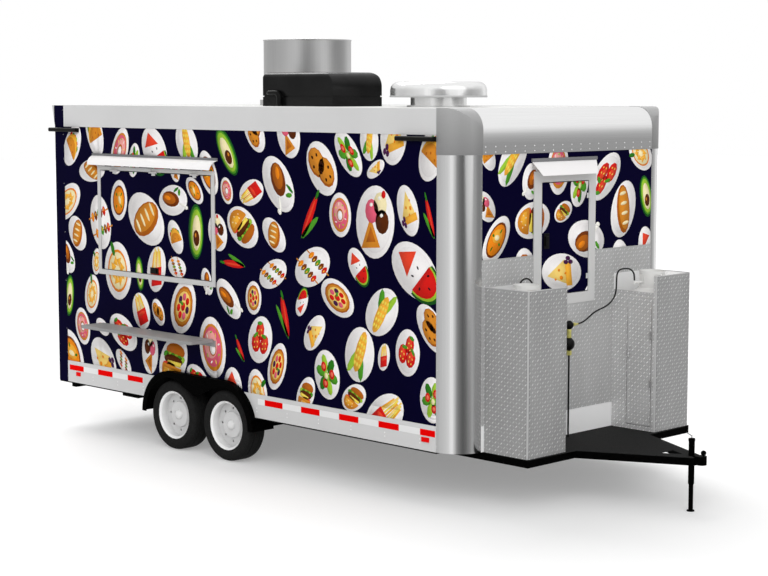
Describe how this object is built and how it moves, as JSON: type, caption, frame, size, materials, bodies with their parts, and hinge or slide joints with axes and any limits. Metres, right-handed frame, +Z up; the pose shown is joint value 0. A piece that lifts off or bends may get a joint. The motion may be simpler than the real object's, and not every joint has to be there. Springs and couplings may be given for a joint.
{
  "type": "concession trailer",
  "caption": "Tandem-axle box trailer fitted out for serving food: framed serving hatch with fold-down shelf, gas cabinets on the tongue, rooftop exhaust drum, printed wrap.",
  "frame": {"origin": "on the ground under the middle of the tongue jack's foot, on the trailer's centre plane", "axes": "+X forward towards the coupler, +Y to the trailer's left, +Z up"},
  "size_m": [6.254, 2.762, 3.447],
  "materials": {
    "navy_wrap": "satin printed wrap",
    "grey_band": "satin",
    "white_paint": "gloss",
    "grey_cap": "satin",
    "brushed_metal": "brushed",
    "tread_plate": "diamond tread",
    "steel_sheet": "brushed",
    "polished_steel": "polished",
    "black_paint": "satin",
    "black_plastic": "gloss",
    "wheel_paint": "gloss",
    "tyre_rubber": "matt",
    "hose_rubber": "matt",
    "floor_board": "matt",
    "lamp_red": "gloss",
    "brass_fittings": "satin",
    "cylinder_paint": "satin"
  },
  "bodies": {
    "chassis": {"main_rails": "black_paint", "cross_members": "black_paint", "tongue_frame": "black_paint", "deck_plate": "black_paint", "coupler": "black_paint", "jack_tube": "black_paint", "jack_crank": "steel_sheet", "axle_front": "black_paint", "axle_rear": "black_paint", "fenders": "black_paint", "wheel_boxes": "steel_sheet", "floor_panel": "floor_board", "wall_left": "navy_wrap", "wall_right": "navy_wrap", "wall_front": "navy_wrap", "wall_rear": "navy_wrap", "roof_panel": "grey_band", "rear_frame": "navy_wrap", "corner_posts": "brushed_metal", "corner_caps": "grey_cap", "nose_cap": "brushed_metal", "top_bands": "grey_band", "side_skirts": "white_paint", "end_sills": "grey_band", "stone_guard": "tread_plate", "window_frame": "white_paint", "front_frame": "grey_band", "entrance_frame": "grey_band", "window_awning": "white_paint", "front_awning": "white_paint", "shelf_ledger": "white_paint", "gas_cabinet_left": "tread_plate", "gas_cabinet_right": "tread_plate", "gas_cylinders": "cylinder_paint", "regulators": "black_plastic", "gas_hose_left": "hose_rubber", "gas_hose_right": "hose_rubber", "bar_lights": "black_plastic", "lamps": "lamp_red", "exhaust_stack": "steel_sheet", "air_conditioner": "black_plastic", "roof_vent": "polished_steel"},
    "serving_hatch": {"serving_hatch": "navy_wrap", "hatch_latch": "steel_sheet"},
    "serving_shelf": {"serving_shelf": "brushed_metal"},
    "front_door": {"front_door": "navy_wrap", "front_latch": "steel_sheet"},
    "entrance_door": {"entrance_door": "navy_wrap", "entrance_handle": "steel_sheet"},
    "cabinet_door_left": {"cabinet_door_left": "tread_plate"},
    "cabinet_door_right": {"cabinet_door_right": "tread_plate"},
    "jack_leg": {"jack_leg": "black_paint"},
    "wheel_front_left": {"wheel_front_left": "wheel_paint", "tyre_front_left": "tyre_rubber"},
    "wheel_front_right": {"wheel_front_right": "wheel_paint", "tyre_front_right": "tyre_rubber"},
    "wheel_rear_left": {"wheel_rear_left": "wheel_paint", "tyre_rear_left": "tyre_rubber"},
    "wheel_rear_right": {"wheel_rear_right": "wheel_paint", "tyre_rear_right": "tyre_rubber"}
  },
  "joints": [
    {"name": "wheel_front_left_spin", "type": "hinge", "parent": "chassis", "child": "wheel_front_left", "pos_m": [-3.711, 1.145, 0.292], "axis": [0, 1, 0], "continuous": true},
    {"name": "wheel_front_right_spin", "type": "hinge", "parent": "chassis", "child": "wheel_front_right", "pos_m": [-3.711, -1.145, 0.292], "axis": [0, 1, 0], "continuous": true},
    {"name": "wheel_rear_left_spin", "type": "hinge", "parent": "chassis", "child": "wheel_rear_left", "pos_m": [-4.395, 1.145, 0.292], "axis": [0, 1, 0], "continuous": true},
    {"name": "wheel_rear_right_spin", "type": "hinge", "parent": "chassis", "child": "wheel_rear_right", "pos_m": [-4.395, -1.145, 0.292], "axis": [0, 1, 0], "continuous": true},
    {"name": "serving_hatch_hinge", "type": "hinge", "parent": "chassis", "child": "serving_hatch", "pos_m": [-4.63, -1.236, 2.32], "axis": [-1, 0, 0], "range_deg": [0, 90]},
    {"name": "serving_shelf_hinge", "type": "hinge", "parent": "chassis", "child": "serving_shelf", "pos_m": [-4.5975, -1.237, 0.965], "axis": [1, 0, 0], "range_deg": [0, 90]},
    {"name": "front_door_hinge", "type": "hinge", "parent": "chassis", "child": "front_door", "pos_m": [-1.119, 0.202, 1.9], "axis": [0, 0, 1], "range_deg": [0, 90]},
    {"name": "entrance_door_hinge", "type": "hinge", "parent": "chassis", "child": "entrance_door", "pos_m": [-6.078, -0.407, 1.5], "axis": [0, 0, 1], "range_deg": [0, 110]},
    {"name": "cabinet_door_left_hinge", "type": "hinge", "parent": "chassis", "child": "cabinet_door_left", "pos_m": [-0.763, 0.516, 0.9], "axis": [0, 0, 1], "range_deg": [0, 90]},
    {"name": "cabinet_door_right_hinge", "type": "hinge", "parent": "chassis", "child": "cabinet_door_right", "pos_m": [-0.763, -0.516, 0.9], "axis": [0, 0, -1], "range_deg": [0, 90]},
    {"name": "jack_slide", "type": "slide", "parent": "chassis", "child": "jack_leg", "axis": [0, 0, 1], "range_m": [0, 0.17]}
  ]
}
